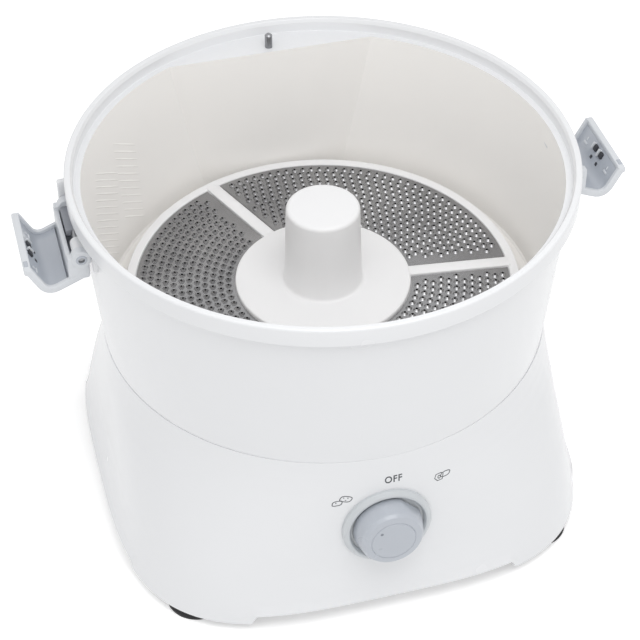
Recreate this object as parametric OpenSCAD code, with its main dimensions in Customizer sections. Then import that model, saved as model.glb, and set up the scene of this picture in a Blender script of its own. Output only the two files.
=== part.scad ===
// Electric potato peeler: round bowl on a flared base, turning rasp disc, two clip levers, one rotary knob.
// Millimetres. Z up, origin on the table under the disc's axis, knob on the -Y side.

/* [Bowl] */
// Height of the rim above the table
rim_z = 195; // [190:1:205]
// Outer radius of the rim band
rim_r = 125; // [124.5:0.5:127]
// Height of the rim band
band_h = 10; // [7:0.5:12]
// Thickness of the lip that the lid drops over
lip_t = 3; // [2.5:0.1:3.5]
// Depth of the lid seat below the rim
seat_drop = 7; // [5:0.5:8]
// How far the rim band stands out from the bowl wall
band_out = 4.2; // [3.5:0.1:4.5]
// Outer radius of the bowl where it meets the base
bowl_bottom_r = 113.8; // [113:0.1:115]
// Thickness of the bowl wall
bowl_wall = 3.2; // [2.8:0.1:3.6]
// Height of the bowl's lower edge above the table
waist_z = 100; // [98:1:103]
// Thickness of the bowl floor
floor_t = 4; // [3:0.5:5]
// Distance from the axis to the flat wall at the back
flat_y = 104; // [102:0.5:104.5]
// Radius of the raised boss round the drive shaft
boss_r = 12; // [11:0.5:12.5]
// Height of that boss above the bowl floor
boss_h = 20; // [18:0.5:22]

/* [Base] */
// How far the base's lower edge stands out past the rim
skirt_out = 1; // [0:0.5:2]
// Half width of the base at the height of the knob
panel_w = 117; // [116.5:0.5:118]
// Squareness of the base at its lower edge, 2 is a circle
skirt_n = 3.4; // [3.2:0.1:3.6]
// Thickness of the base wall
base_wall = 2.6; // [2.2:0.1:3]
// Gap between the table and the skirt's corners
skirt_z = 5; // [4.5:0.5:5.5]
// Gap between the table and the arches between the corners
arch_z = 10.5; // [9:0.5:11.5]
// Half length of each arch
arch_x = 69; // [64:1:74]
// Height of the bottom plate above the table
plate_z = 12.5; // [12:0.5:14]
// Thickness of the bottom plate
plate_t = 2.5; // [2:0.5:3]

/* [Feet] */
// Distance of each foot's centre in from the base's lower edge
foot_in = 35; // [34.5:0.5:38]
// Radius of the suction cup's lip
foot_r = 16; // [14:0.5:16]
// Radius of the foot's stem
foot_stem_r = 6; // [5:0.5:7]

/* [Disc] */
// Clearance between the disc's edge and the flat wall
disc_gap = 2.5; // [1.5:0.5:4]
// Clearance between the disc and the bowl floor
disc_lift = 6; // [4:0.5:7]
// Thickness of the disc's plastic carrier
disc_t = 5; // [4:0.5:6]
// Radius of the raised middle of the disc
plateau_r = 45; // [42:1:47]
// Height of the raised middle above the carrier
plateau_h = 3; // [2:0.5:4]
// Radius of the hub
hub_r = 19.3; // [18.5:0.1:20]
// Height of the hub above the bowl floor
hub_h = 60; // [56:1:64]
// Width of the carrier's outer ring
ring_w = 5; // [4:0.5:6]
// Number of spokes, and of rasp plates
spokes = 3; // [3:1:4]
// Direction of the first spoke
spoke_angle = 113; // [0:1:120]
// Width of a spoke
spoke_w = 7; // [5:0.5:9]
// Thickness of a rasp plate
rasp_t = 0.8; // [0.6:0.1:1]
// Radius of the punched holes
rasp_hole_r = 1.1; // [0.8:0.1:1.3]
// Spacing of the punched holes
rasp_pitch = 6.5; // [6:0.5:8]

/* [Drive] */
// Radius of the drive shaft
shaft_r = 5; // [4:0.5:6]
// Wall of the bushes and the shaft seal
bush_wall = 3; // [2.5:0.5:3.5]
// Tooth module of the gears
gear_module = 1.25; // [1.2:0.05:1.3]
// Teeth on the driven gear
gear_teeth = 60; // [56:4:64]
// Teeth on the motor pinion
pinion_teeth = 12; // [12:1:14]
// Width of the gears' teeth
gear_w = 7; // [6:0.5:8]
// Radius of the motor can
motor_r = 22; // [20:0.5:24]
// Length of the motor can
motor_l = 55; // [45:1:57]
// Radius of the motor shaft
motor_shaft_r = 2; // [1.5:0.5:2.5]

/* [Knob] */
// Height of the knob's centre above the table
knob_z = 56; // [54:1:58]
// Radius of the knob
knob_r = 17.5; // [16:0.5:19]
// How far the knob stands out of its bezel
knob_l = 13; // [11:0.5:16]
// Distance from the knob's axis to the flats of its grip
knob_flat = 16; // [15:0.5:16.5]
// Gap between the knob and the bezel ring
knob_gap = 1.2; // [0.6:0.1:1.5]
// Width of the bezel ring
bezel_w = 3.9; // [3.5:0.1:5]
// How far the bezel stands out of the base
bezel_h = 3.5; // [2.5:0.5:5]
// Radius of the switch spindle
spindle_r = 3; // [2.5:0.5:3.5]

/* [Clips] */
// Distance of the clip hinges in from the edge of the rim
hinge_in = 1.5; // [0.5:0.1:1.5]
// Depth of the clip hinges below the rim
hinge_drop = 20; // [19.5:0.5:21]
// Width of a clip lever
clip_w = 45; // [42:1:50]
// Thickness of a clip lever's shell
clip_t = 2.4; // [2:0.1:2.8]
// Radius of the hinge pin
clip_pin_r = 1.5; // [1.2:0.1:1.8]

/* [Fits] */
// Radial clearance of parts that turn or slide
run = 0.05; // [0.03:0.01:0.08]
// Gap between parts that are simply put together
gap = 0.3; // [0.2:0.05:0.4]

/* [Hidden] */

$fn = 72;
white = [0.95, 0.95, 0.95];
grey = [0.72, 0.74, 0.77];
steel = [0.75, 0.75, 0.76];
black = [0.08, 0.08, 0.08];
tiny = 0.01;
far = 300; // larger than the whole machine, for cuts

// Radii and heights that follow from the sizes above
bowl_top_r = rim_r - band_out;
hinge_x = rim_r - hinge_in;
skirt_w = rim_r + skirt_out;
foot_xy = skirt_w - foot_in;
band_z = rim_z - band_h;
seat_z = rim_z - seat_drop;
floor_z = waist_z + floor_t;
disc_z = floor_z + disc_lift;
rasp_z = disc_z + disc_t;
plateau_z = rasp_z + plateau_h;
hub_z = floor_z + hub_h;
boss_z = floor_z + boss_h;
bowl_slope = (bowl_top_r - bowl_bottom_r) / (band_z - waist_z);
inner_floor_r = bowl_bottom_r + bowl_slope * floor_t - bowl_wall;
inner_seat_r = bowl_top_r - bowl_wall;
disc_r = flat_y - disc_gap;

// ---- base section: a superellipse whose half width w and exponent n follow the height ----
base_keys = [[skirt_z, skirt_w, skirt_n], [30, panel_w + 2.2, skirt_n + 0.3], [knob_z, panel_w, 2.8],
             [80, bowl_bottom_r + 1.7, 2.15], [waist_z, bowl_bottom_r, 2]];
base_rings = 14;
base_sides = 64;
function key_w(z) = lookup(z, [for (k = base_keys) [k[0], k[1]]]);
function key_n(z) = lookup(z, [for (k = base_keys) [k[0], k[2]]]);
function soft(f, z, d) = (f(max(skirt_z, z - d)) + 2 * f(z) + f(min(waist_z, z + d))) / 4;
function section_w(z) = soft(function(h) key_w(h), z, 7);
function section_n(z) = soft(function(h) key_n(h), z, 7);
function polar(w, n, a) = w / pow(pow(abs(cos(a)), n) + pow(abs(sin(a)), n), 1 / n);
function base_point(z, a, inset) =
    let (r = polar(section_w(z), section_n(z), a) - inset) [r * cos(a), r * sin(a), z];
function wall_tilt(z) = atan((section_w(z - 15) - section_w(z + 15)) / 30);

// Turns +Z to point out of the front wall at height z
module on_wall(z) {
    translate([0, -section_w(z), z]) rotate([90 - wall_tilt(z), 0, 0]) children();
}

module at_knob() {
    on_wall(knob_z) children();
}

module at_inlet() {
    rotate(180) on_wall(inlet_z) children();
}

module loft(low, high, rings, inset) {
    step = 360 / base_sides;
    heights = [for (i = [0:rings]) low + (high - low) * i / rings];
    pts = [for (z = heights) for (j = [0:base_sides - 1]) base_point(z, j * step, inset)];
    last = rings * base_sides;
    polyhedron(pts, concat(
        [[for (j = [0:base_sides - 1]) j]],
        [[for (j = [base_sides - 1:-1:0]) last + j]],
        [for (i = [0:rings - 1]) for (j = [0:base_sides - 1])
            let (a = i * base_sides, b = (j + 1) % base_sides)
                [a + j, a + base_sides + j, a + b]],
        [for (i = [0:rings - 1]) for (j = [0:base_sides - 1])
            let (a = i * base_sides, b = (j + 1) % base_sides)
                [a + b, a + base_sides + j, a + base_sides + b]]
    ));
}

module tube(r_out, r_in, low, high) {
    translate([0, 0, low]) difference() {
        cylinder(h = high - low, r = r_out);
        translate([0, 0, -1]) cylinder(h = high - low + 2, r = r_in);
    }
}

module at_corners(x, y = undef) {
    for (sx = [-1, 1]) for (sy = [-1, 1]) translate([sx * x, sy * (is_undef(y) ? x : y), 0]) children();
}

// A screw with a pan head, pointing up from its seat
module screw(r, length, head_r) {
    cylinder(h = length, r = r, $fn = 24);
    translate([0, 0, -2]) difference() {
        cylinder(h = 2, r = head_r, $fn = 24);
        for (a = [0, 90]) rotate(a) translate([-head_r * 0.6, -0.4, -1]) cube([head_r * 1.2, 0.8, 1.9]);
    }
}

/* ---- bowl ---- */
pin_y = flat_y + 5;
pin_r = 2;
pin_travel = 3;
pin_collar_r = 3;
pocket_top = band_z - 35;
switch_top = pocket_top - 16;
pocket_half = 12;
pocket_wall = 1.8;
pocket_depth = 6.6;
spigot_h = 6;
spigot_r = bowl_bottom_r - base_wall - gap;
post_x = [-80, 48];
post_y = 30;
post_r = 4;
hinge_z = rim_z - hinge_drop;
knuckle_r = 4.2;
cheek_t = 3;
cheek_h = 14;
knuckle_in = 7;
knuckle_out = clip_w / 2 - 5;
arm_in = knuckle_out + gap;

module bowl_outline() {
    polygon([[0, waist_z], [bowl_bottom_r, waist_z], [bowl_top_r, band_z],
             [rim_r - 1, band_z], [rim_r, band_z + 1], [rim_r, rim_z - 1.2], [rim_r - 1.2, rim_z],
             [0, rim_z]]);
}

module bowl_hollow() {
    lip_in = rim_r - lip_t;
    intersection() {
        rotate_extrude($fn = 144) polygon([[0, floor_z], [inner_floor_r - 5, floor_z],
            [inner_floor_r - 1.5, floor_z + 1.5], [inner_floor_r + 0.4, floor_z + 5], [inner_seat_r, seat_z],
            [0, seat_z]]);
        translate([-far / 2, -far / 2, 0]) cube([far, far / 2 + flat_y, far]);
    }
    rotate_extrude($fn = 144) polygon([[0, seat_z - tiny], [inner_seat_r, seat_z - tiny],
        [lip_in - 1, rim_z - 2], [lip_in, rim_z + 1], [0, rim_z + 1]]);
}

module clip_bracket() {
    for (side = [-1, 1]) {
        y = side > 0 ? knuckle_in : -knuckle_out;
        translate([hinge_x, y, hinge_z]) rotate([-90, 0, 0])
            cylinder(h = knuckle_out - knuckle_in, r = knuckle_r);
        translate([bowl_top_r - 6, y, hinge_z - knuckle_r]) cube([hinge_x - bowl_top_r + 6,
            knuckle_out - knuckle_in, 2 * knuckle_r]);
        end = side > 0 ? clip_w / 2 + gap : -clip_w / 2 - gap - cheek_t;
        translate([bowl_top_r - 8, end, hinge_z - cheek_h / 2]) cube([8.5, cheek_t, cheek_h]);
    }
}

module bowl() {
    color(white) difference() {
        union() {
            difference() {
                rotate_extrude($fn = 144) bowl_outline();
                bowl_hollow();
            }
            translate([0, 0, floor_z - tiny]) cylinder(h = boss_h + tiny, r = boss_r);
            tube(spigot_r, spigot_r - 2.4, waist_z - spigot_h, waist_z + tiny);
            difference() {
                for (m = [0, 1]) mirror([m, 0, 0]) clip_bracket();
                translate([0, 0, hinge_z - far / 2]) cylinder(h = far, r = inner_seat_r + 1);
            }
            for (x = post_x) for (y = [-post_y, post_y])
                translate([x, y, waist_z - 3]) cylinder(h = 3 + tiny, r = post_r + 2);
        }
        // shaft, bush and seal
        translate([0, 0, waist_z - 1]) cylinder(h = boss_h + floor_t + 2, r = shaft_r + bush_wall);
        // clip pins
        for (s = [-1, 1]) translate([s * hinge_x, -clip_w, hinge_z]) rotate([-90, 0, 0])
            cylinder(h = 2 * clip_w, r = clip_pin_r + run);
        // interlock pin, its spring and its switch
        translate([0, pin_y, waist_z]) cylinder(h = rim_z, r = pin_r + run);
        translate([0, pin_y, switch_top - 1])
            cylinder(h = pocket_top - switch_top + 1, r = pin_collar_r + gap);
        translate([-pocket_half, flat_y + pocket_wall, waist_z - spigot_h - 1])
            cube([2 * pocket_half, pocket_depth, switch_top + gap - waist_z + spigot_h + 1]);
        // screw holes for the motor plate
        for (x = post_x) for (y = [-post_y, post_y])
            translate([x, y, waist_z - 4]) cylinder(h = 5, r = 1.5, $fn = 24);
    }
}

/* ---- base ---- */
switch_box = 26;
switch_pad_t = 1.4;
seat_t = 0.6;
inlet_z = 38;
inlet_r = 6;
inlet_flange = 2.5;
inlet_nose = 12;
cord_hole_r = 3.5;
column_r = 5;
column_h = 22;
column_xy = foot_xy - 13;
rib_t = 2.4;
rib_low = 4;

module arches() {
    for (a = [0, 90]) rotate(a) {
        translate([-arch_x, -200, -1]) cube([2 * arch_x, 400, arch_z + 1]);
    }
}

module base_housing() {
    color(white) difference() {
        union() {
            difference() {
                loft(skirt_z, waist_z, base_rings, 0);
                loft(skirt_z - 1, waist_z - 8, 7, base_wall);
            }
            at_corners(column_xy) translate([0, 0, plate_z + plate_t])
                cylinder(h = column_h, r = column_r, $fn = 32);
            intersection() {
                column_ribs();
                loft(skirt_z, waist_z, base_rings, base_wall / 2);
            }
            intersection() {
                at_knob() translate([0, 0, -base_wall - switch_pad_t])
                    cylinder(h = base_wall, r = switch_box / 2 + 3);
                loft(skirt_z, waist_z, base_rings, base_wall / 2);
            }
        }
        arches();
        translate([0, 0, waist_z - 12]) cylinder(h = 14, r = spigot_r + gap);
        at_knob() {
            translate([0, 0, -seat_t]) cylinder(h = 5, r = bezel_r + gap);
            translate([0, 0, -10]) cylinder(h = 20, r = spindle_r + 2, $fn = 48);
        }
        at_inlet() {
            translate([0, 0, -seat_t]) cylinder(h = 5, r = inlet_r + inlet_flange + gap);
            translate([0, 0, -10]) cylinder(h = 20, r = inlet_r + gap);
        }
        at_corners(column_xy) translate([0, 0, plate_z]) cylinder(h = 16, r = 1.5, $fn = 24);
    }
}

plate_screw_r = 1.4;
plate_screw_l = 14;

// Ribs that tie the screw columns to the corners of the wall, above the heads of the foot screws
module column_ribs() {
    at = column_xy * sqrt(2);
    low = plate_z + plate_t + rib_low;
    for (a = [45:90:315]) rotate(a) translate([at, -rib_t / 2, low])
        cube([50, rib_t, column_h - rib_low]);
}

module bottom_plate() {
    edge = base_wall + 1.2;
    step = 360 / base_sides;
    color(white) difference() {
        translate([0, 0, plate_z]) linear_extrude(plate_t)
            polygon([for (j = [0:base_sides - 1])
                let (p = base_point(plate_z + plate_t, j * step, edge)) [p[0], p[1]]]);
        at_corners(column_xy) translate([0, 0, plate_z - 1]) cylinder(h = plate_t + 2, r = 1.8, $fn = 24);
        at_corners(foot_xy) translate([0, 0, plate_z - 1]) cylinder(h = plate_t + 2, r = 2.2, $fn = 24);
        // cooling slots under the motor
        for (i = [-4:4]) translate([motor_x - 1.5 + i * 7, -20, plate_z - 1]) cube([3, 40, plate_t + 2]);
    }
}

module bottom_screws() {
    color(steel) at_corners(column_xy) translate([0, 0, plate_z]) screw(plate_screw_r, plate_screw_l, 3.2);
}

foot_screw_r = 1.3;
foot_screw_l = 10;
module foot() {
    color(black) difference() {
        rotate_extrude($fn = 72) polygon([[0, 0.8], [foot_r - 5, 2.2], [foot_r - 1.2, 0], [foot_r, 0],
            [foot_r, 1.2], [foot_r - 3.4, 4.4], [foot_r - 5, 7.5], [foot_stem_r, 8.6],
            [foot_stem_r, plate_z], [0, plate_z]]);
        translate([0, 0, 4]) cylinder(h = plate_z, r = foot_screw_r + run, $fn = 24);
    }
}

module foot_at(sx, sy) {
    translate([sx * foot_xy, sy * foot_xy, 0]) foot();
}
module foot_front_left() { foot_at(-1, -1); }
module foot_front_right() { foot_at(1, -1); }
module foot_rear_left() { foot_at(-1, 1); }
module foot_rear_right() { foot_at(1, 1); }

module foot_screws() {
    color(steel) at_corners(foot_xy) translate([0, 0, plate_z + plate_t]) mirror([0, 0, 1])
        screw(foot_screw_r, foot_screw_l, 3);
}

/* ---- disc ---- */
hub_bore = boss_r + 1.5;
ledge_w = 3;
rasp_in = plateau_r + gap;
rasp_out = disc_r - ring_w - gap;

module sector(r_in, r_out, from, to) {
    steps = 16;
    arc = [for (i = [0:steps]) from + (to - from) * i / steps];
    polygon(concat([for (a = arc) r_out * [cos(a), sin(a)]],
                   [for (i = [steps:-1:0]) r_in * [cos(arc[i]), sin(arc[i])]]));
}

module each_plate() {
    for (i = [0:spokes - 1]) rotate(spoke_angle + i * 360 / spokes) children();
}

module rasp_disc() {
    hole_in = plateau_r + ledge_w;
    hole_out = disc_r - ring_w - ledge_w;
    color(white) difference() {
        union() {
            translate([0, 0, disc_z]) cylinder(h = disc_t, r = disc_r, $fn = 144);
            translate([0, 0, rasp_z - tiny]) cylinder(h = plateau_h - 1 + tiny, r = plateau_r, $fn = 96);
            translate([0, 0, plateau_z - 1 - tiny])
                cylinder(h = 1 + tiny, r1 = plateau_r, r2 = plateau_r - 1, $fn = 96);
            translate([0, 0, rasp_z - tiny]) linear_extrude(rasp_t + 0.4) difference() {
                circle(disc_r - 0.6, $fn = 144);
                circle(disc_r - ring_w, $fn = 144);
            }
            each_plate() translate([plateau_r - 2, -spoke_w / 2, rasp_z - tiny])
                cube([disc_r - ring_w - plateau_r + 4, spoke_w, rasp_t + 0.7]);
        }
        each_plate() {
            half = 180 / spokes;
            spoke_half = asin((spoke_w / 2) / hole_in);
            translate([0, 0, disc_z - 1]) linear_extrude(disc_t + 2)
                sector(hole_in, hole_out, spoke_half, 2 * half - spoke_half);
        }
        translate([0, 0, disc_z - 1]) cylinder(h = plateau_z - disc_z + 2, r = hub_bore);
    }
}

module disc_hub() {
    profile = [[0, plateau_z], [hub_r + 3, plateau_z], [hub_r + 0.9, plateau_z + 0.8],
               [hub_r + 0.3, plateau_z + 2.5], [hub_r - 0.4, hub_z - 2], [hub_r - 1, hub_z - 0.6],
               [hub_r - 2.4, hub_z], [0, hub_z]];
    color(white) difference() {
        rotate_extrude($fn = 96) polygon(profile);
        translate([0, 0, plateau_z - 1]) cylinder(h = boss_z + 3 - plateau_z + 1, r = hub_bore);
        translate([0, 0, plateau_z - 1]) cylinder(h = hub_z - 10 - plateau_z + 1, r = shaft_r + run);
    }
}

module rasp_plates() {
    half = 180 / spokes;
    edge = asin((spoke_w / 2 + gap) / rasp_in) + 0.4;
    rows = floor((rasp_out - rasp_in - rasp_pitch) / rasp_pitch);
    color(steel) each_plate() translate([0, 0, rasp_z]) linear_extrude(rasp_t) difference() {
        sector(rasp_in, rasp_out, edge, 2 * half - edge);
        for (i = [0:rows]) {
            r = rasp_in + rasp_pitch * (i + 0.9);
            count = floor((2 * half - 2 * edge) * PI / 180 * r / rasp_pitch) - 1;
            for (k = [0:count - 1]) rotate(half + (k - (count - 1) / 2) * rasp_pitch / r * 180 / PI)
                translate([r, 0]) circle(rasp_hole_r, $fn = 16);
        }
    }
}

/* ---- drive ---- */
gear_r = gear_module * gear_teeth / 2;
pinion_pitch_r = gear_module * pinion_teeth / 2;
motor_x = -(gear_r + pinion_pitch_r);
gear_z = waist_z - spigot_h - gear_w;
motor_plate_t = 4;
motor_plate_z = gear_z - 2 - motor_plate_t;
motor_top = motor_plate_z;

module gear_outline(teeth) {
    r = gear_module * teeth / 2;
    root = r - 1.25 * gear_module;
    tip = r + 0.9 * gear_module;
    pitch = 360 / teeth;
    polygon([for (i = [0:teeth - 1]) each [
        root * [cos((i - 0.36) * pitch), sin((i - 0.36) * pitch)],
        r * [cos((i - 0.22) * pitch), sin((i - 0.22) * pitch)],
        tip * [cos((i - 0.1) * pitch), sin((i - 0.1) * pitch)],
        tip * [cos((i + 0.1) * pitch), sin((i + 0.1) * pitch)],
        r * [cos((i + 0.22) * pitch), sin((i + 0.22) * pitch)],
        root * [cos((i + 0.36) * pitch), sin((i + 0.36) * pitch)]]]);
}

module driven_gear() {
    web_r = gear_r - 6;
    color(white) difference() {
        union() {
            translate([0, 0, gear_z]) linear_extrude(gear_w) gear_outline(gear_teeth);
            translate([0, 0, gear_z - 1]) cylinder(h = gear_w + 2, r = shaft_r + 5);
        }
        for (z = [gear_z - 1, gear_z + gear_w - 2]) tube(web_r, shaft_r + 6, z, z + 3);
        translate([0, 0, gear_z - 3]) cylinder(h = gear_w + 6, r = shaft_r + run);
    }
}

module drive_shaft() {
    low = motor_plate_z - 1;
    color(steel) translate([0, 0, low]) cylinder(h = hub_z - 10.3 - low, r = shaft_r);
}

module bush(low, high) {
    tube(shaft_r + bush_wall - tiny, shaft_r + run, low, high);
}
seal_h = 3;
module upper_bush() { color([0.72, 0.53, 0.3]) bush(waist_z, boss_z - seal_h - gap); }
module lower_bush() { color([0.72, 0.53, 0.3]) bush(motor_plate_z, motor_plate_z + motor_plate_t); }
module shaft_seal() { color(black) bush(boss_z - seal_h, boss_z); }

module motor_pinion() {
    color(steel) difference() {
        translate([motor_x, 0, gear_z]) rotate(180 / pinion_teeth)
            linear_extrude(gear_w) gear_outline(pinion_teeth);
        translate([motor_x, 0, gear_z - 1]) cylinder(h = gear_w + 2, r = motor_shaft_r + run);
    }
}

module motor_shaft() {
    low = motor_top - motor_l + 4;
    color(steel) translate([motor_x, 0, low]) cylinder(h = gear_z + gear_w + 0.5 - low, r = motor_shaft_r);
}

module motor() {
    low = motor_top - motor_l;
    color(steel) difference() {
        union() {
            translate([motor_x, 0, low]) cylinder(h = motor_l, r = motor_r);
            translate([motor_x, 0, low - 3]) cylinder(h = 3 + tiny, r = motor_r * 0.4);
            for (s = [-1, 1]) translate([motor_x - 3, s * motor_r * 0.6 - 1, low - 5]) cube([6, 2, 6]);
        }
        translate([motor_x, 0, low + 3.5]) cylinder(h = motor_l, r = motor_shaft_r + run);
    }
}

module motor_plate() {
    color([0.8, 0.8, 0.8]) difference() {
        union() {
            translate([post_x[0] - 7, -post_y - 7, motor_plate_z])
                cube([post_x[1] - post_x[0] + 14, 2 * post_y + 14, motor_plate_t]);
            for (x = post_x) for (y = [-post_y, post_y]) translate([x, y, motor_plate_z])
                cylinder(h = waist_z - 3 - motor_plate_z, r = post_r);
        }
        translate([0, 0, motor_plate_z - 1]) cylinder(h = motor_plate_t + 2, r = shaft_r + bush_wall);
        translate([motor_x, 0, motor_plate_z - 1]) cylinder(h = motor_plate_t + 2, r = motor_shaft_r + 3);
        for (x = post_x) for (y = [-post_y, post_y]) translate([x, y, motor_plate_z - 1])
            cylinder(h = waist_z, r = 1.5, $fn = 24);
    }
}

module motor_plate_screws() {
    color(steel) for (x = post_x) for (y = [-post_y, post_y]) translate([x, y, motor_plate_z])
        screw(1.4, waist_z - motor_plate_z, 3.2);
}

/* ---- knob ---- */
bezel_r = knob_r + knob_gap + bezel_w;
bezel_in = knob_r + knob_gap;
pointer_angle = 135;
switch_front = -base_wall - switch_pad_t;
spindle_low = -10;

module knob_bezel() {
    color(grey) at_knob() rotate_extrude($fn = 96) polygon([[spindle_r + 2, -seat_t], [bezel_r, -seat_t],
        [bezel_r, bezel_h - 1.6], [bezel_r - 0.5, bezel_h - 0.5], [bezel_r - 1.5, bezel_h],
        [bezel_in + 0.8, bezel_h], [bezel_in, bezel_h - 0.8], [bezel_in, 1], [spindle_r + 2, 1]]);
}

module knob() {
    top = bezel_h + knob_l;
    color(grey) at_knob() rotate(pointer_angle) difference() {
        rotate_extrude($fn = 96) polygon([[0, 1 + gap], [knob_r, 1 + gap], [knob_r - 0.6, top - 2.4],
            [knob_r - 1.4, top - 1.2], [knob_r - 3.6, top], [0, top]]);
        for (s = [-1, 1]) translate([-knob_r, s > 0 ? knob_flat : -knob_flat - knob_r, 0])
            cube([2 * knob_r, knob_r, top + 1]);
        cylinder(h = top - 3, r = spindle_r + run);
        translate([knob_r - 7, 0, top - 0.4]) cylinder(h = 1, r = 0.8, $fn = 24);
    }
}

module switch_spindle() {
    color(white) at_knob() translate([0, 0, spindle_low])
        cylinder(h = bezel_h + knob_l - 3 - gap - spindle_low, r = spindle_r);
}

module rotary_switch() {
    back = 18;
    color(black) at_knob() difference() {
        union() {
            translate([-switch_box / 2, -switch_box / 2, switch_front - back])
                cube([switch_box, switch_box, back]);
            translate([0, 0, switch_front - tiny]) cylinder(h = base_wall, r = spindle_r + 1.7);
        }
        translate([0, 0, spindle_low - gap]) cylinder(h = 20, r = spindle_r + run);
    }
}

/* ---- clips ---- */
clip_lip = [27, -3];
clip_path_start = [6.4, -9];
clip_path_turn1 = [11, -20];
clip_path_turn2 = [22, -23];
clip_steps = 12;
function curve(t) = pow(1 - t, 3) * clip_path_start + 3 * t * pow(1 - t, 2) * clip_path_turn1
    + 3 * t * t * (1 - t) * clip_path_turn2 + pow(t, 3) * clip_lip;

module bar(p, q, t) {
    d = q - p;
    translate(p) rotate(atan2(d[1], d[0])) translate([0, -t / 2]) square([norm(d), t]);
    translate(p) circle(t / 2, $fn = 16);
    translate(q) circle(t / 2, $fn = 16);
}

module clip_section(t) {
    for (i = [0:clip_steps - 1]) bar(curve(i / clip_steps), curve((i + 1) / clip_steps), t);
}

// Extrudes a section drawn in x and z over a stretch of y
module along_y(from, to) {
    translate([0, to, 0]) rotate([90, 0, 0]) linear_extrude(to - from) children();
}

module clip_lever() {
    half = clip_w / 2;
    wall = 1.8;
    boss = 4.4;
    difference() {
        union() {
            along_y(-half, half) {
                clip_section(clip_t);
                translate([clip_lip[0] - 1.6, clip_lip[1] - 1]) square([3.6, 2.6]);
                translate([clip_path_start[0] - 1.1, clip_path_start[1]])
                    square([wall, 1 - clip_path_start[1]]);
            }
            for (s = [-1, 1]) {
                low = s > 0 ? arm_in : -half;
                along_y(s > 0 ? half - 2 : -half, s > 0 ? half : -half + 2) clip_section(clip_t + 2);
                along_y(low, low + half - arm_in) {
                    circle(boss, $fn = 48);
                    translate([0, -boss]) square([clip_path_start[0], 2 * boss - 2]);
                    translate([3, clip_path_start[1] - 1]) square([clip_path_start[0] - 2.5, 8]);
                }
            }
        }
        translate([0, -clip_w, 0]) rotate([-90, 0, 0]) cylinder(h = 2 * clip_w, r = clip_pin_r + run);
    }
}

module clip_pin() {
    color(steel) translate([0, -clip_w / 2 + 0.5, 0]) rotate([-90, 0, 0])
        cylinder(h = clip_w - 1, r = clip_pin_r);
}

module clip_lever_right() { color(grey) translate([hinge_x, 0, hinge_z]) clip_lever(); }
module clip_lever_left() { color(grey) mirror([1, 0, 0]) translate([hinge_x, 0, hinge_z]) clip_lever(); }
module clip_pin_right() { translate([hinge_x, 0, hinge_z]) clip_pin(); }
module clip_pin_left() { translate([-hinge_x, 0, hinge_z]) clip_pin(); }

/* ---- interlock ---- */
pin_top = rim_z + 1;
spring_low = switch_top;
collar_z = pocket_top - 2.5;
spring_wire = 0.35;

module interlock_pin() {
    color(steel) translate([0, pin_y, 0]) {
        translate([0, 0, switch_top + 4.5]) cylinder(h = pin_top - switch_top - 4.5 - 0.8, r = pin_r);
        translate([0, 0, pin_top - 0.8 - tiny]) cylinder(h = 0.8 + tiny, r1 = pin_r, r2 = pin_r - 0.8);
        translate([0, 0, collar_z]) cylinder(h = 2, r = pin_collar_r);
    }
}

module interlock_spring() {
    turns = 5;
    height = collar_z - spring_low - gap;
    color(steel) for (i = [0:turns - 1])
        translate([0, pin_y, spring_low + spring_wire + (height - 2 * spring_wire) * i / (turns - 1)])
            rotate_extrude($fn = 32) translate([pin_r + 0.6, 0]) circle(spring_wire, $fn = 14);
}

module interlock_switch() {
    color(black) {
        translate([-10, flat_y + pocket_wall, switch_top - 12]) cube([20, 6, 12]);
        translate([-1.5, pin_y - 1.5, switch_top - tiny]) cube([3, 3, 1]);
    }
}

/* ---- electrics ---- */
board_x = 34;
board_size = [44, 56];
module circuit_board() {
    low = plate_z + plate_t;
    color([0.1, 0.35, 0.2]) {
        translate([board_x, -board_size[1] / 2, low + 6]) cube([board_size[0], board_size[1], 1.6]);
        for (x = [4, board_size[0] - 4]) for (y = [-1, 1])
            translate([board_x + x, y * (board_size[1] / 2 - 4), low]) cylinder(h = 6.4, r = 2.5, $fn = 24);
        translate([board_x + 12, -8, low + 7.5]) cylinder(h = 18, r = 7, $fn = 32);
        translate([board_x + 24, 4, low + 7.5]) cube([14, 18, 11]);
    }
}

module cord_inlet() {
    low = -base_wall - 2.5;
    color(black) at_inlet() difference() {
        union() {
            translate([0, 0, low]) cylinder(h = 2, r = inlet_r + 2);
            translate([0, 0, low]) cylinder(h = 2 - low, r = inlet_r);
            translate([0, 0, -seat_t]) cylinder(h = seat_t + 2, r = inlet_r + inlet_flange);
            translate([0, 0, 2 - tiny]) cylinder(h = inlet_nose - 2, r1 = inlet_r + 0.8, r2 = inlet_r - 0.6);
        }
        translate([0, 0, low - 1]) cylinder(h = inlet_nose - low + 2, r = cord_hole_r);
    }
}

bowl();
base_housing();
bottom_plate();
bottom_screws();
foot_front_left();
foot_front_right();
foot_rear_left();
foot_rear_right();
foot_screws();
rasp_disc();
disc_hub();
rasp_plates();
drive_shaft();
upper_bush();
lower_bush();
shaft_seal();
driven_gear();
motor_pinion();
motor_shaft();
motor();
motor_plate();
motor_plate_screws();
knob();
knob_bezel();
switch_spindle();
rotary_switch();
clip_lever_left();
clip_lever_right();
clip_pin_left();
clip_pin_right();
interlock_pin();
interlock_spring();
interlock_switch();
circuit_board();
cord_inlet();
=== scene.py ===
import bpy
import bmesh
import math
from mathutils import Matrix, Vector
from mathutils.bvhtree import BVHTree


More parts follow.
